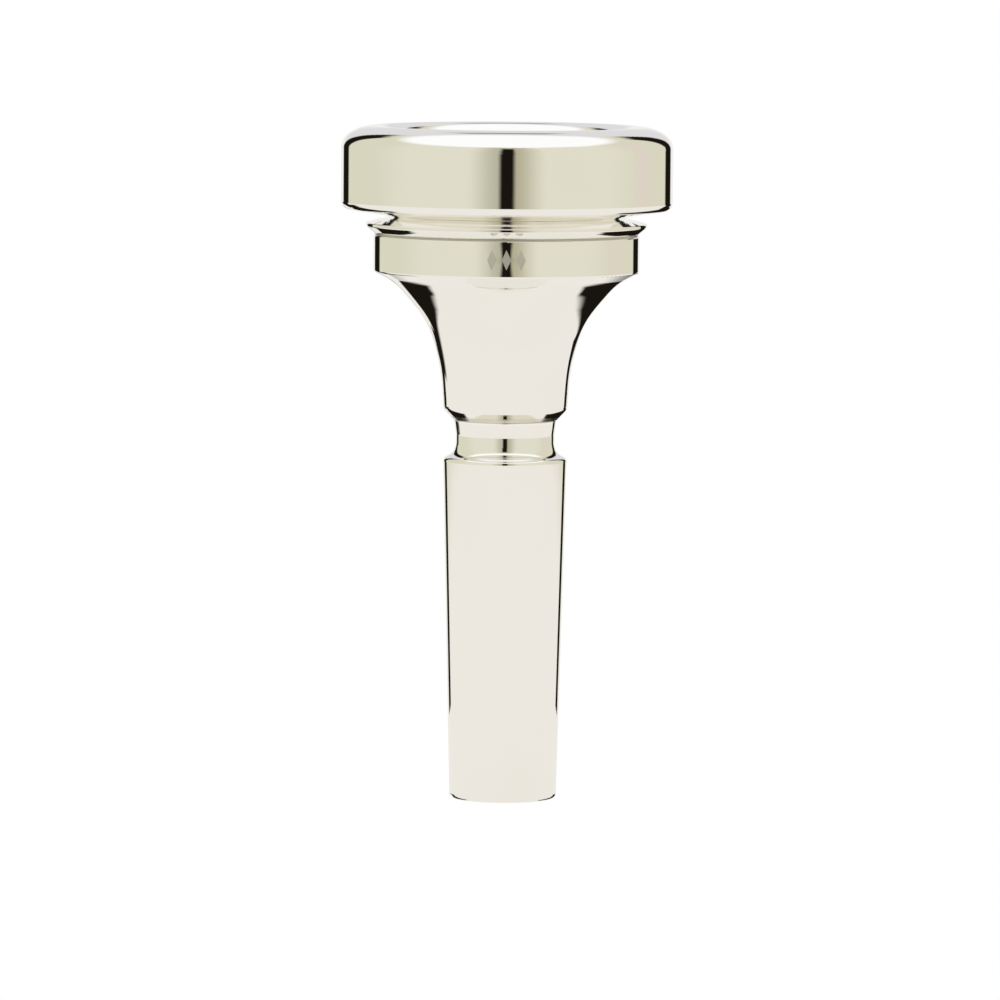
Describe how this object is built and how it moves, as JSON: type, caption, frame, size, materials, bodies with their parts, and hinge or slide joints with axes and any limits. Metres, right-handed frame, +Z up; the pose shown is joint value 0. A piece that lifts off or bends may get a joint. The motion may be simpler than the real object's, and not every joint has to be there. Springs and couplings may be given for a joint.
{
  "type": "trombone mouthpiece",
  "caption": "Screw-together trombone mouthpiece in polished silver plate: rounded rim, cup with a flanged barrel, and a tapered large shank.",
  "frame": {"origin": "centre of the shank's tip, on the flat that the mouthpiece stands on", "axes": "+Z up the bore axis, from the shank's tip to the crest of the rim; -Y faces the viewer and carries the engraved mark"},
  "size_m": [0.0394, 0.0394, 0.0801],
  "materials": {
    "silver_plate": "mirror-polished silver plate over turned brass",
    "seal_rubber": "matt black nitrile rubber"
  },
  "bodies": {
    "shank": {"shank": "silver_plate"},
    "shank_seal": {"shank_seal_ring": "seal_rubber"},
    "cup": {"cup": "silver_plate"},
    "rim_seal": {"rim_seal_ring": "seal_rubber"},
    "rim": {"rim": "silver_plate"}
  },
  "joints": [
    {"name": "cup_lift", "type": "slide", "parent": "shank", "child": "shank_seal", "axis": [0, 0, 1], "range_m": [0, 0.00401]},
    {"name": "cup_unscrew", "type": "hinge", "parent": "shank_seal", "child": "cup", "pos_m": [0, 0, 0.0452], "axis": [0, 0, 1], "range_deg": [0, 1440]},
    {"name": "rim_lift", "type": "slide", "parent": "cup", "child": "rim_seal", "axis": [0, 0, 1], "range_m": [0, 0.00526]},
    {"name": "rim_unscrew", "type": "hinge", "parent": "rim_seal", "child": "rim", "pos_m": [0, 0, 0.06945], "axis": [0, 0, 1], "range_deg": [0, 1890]}
  ],
  "couplings": [
    {"joint": "cup_lift", "follows": "cup_unscrew", "m_per_rad": 0.00015915},
    {"joint": "rim_lift", "follows": "rim_unscrew", "m_per_rad": 0.00015915}
  ]
}
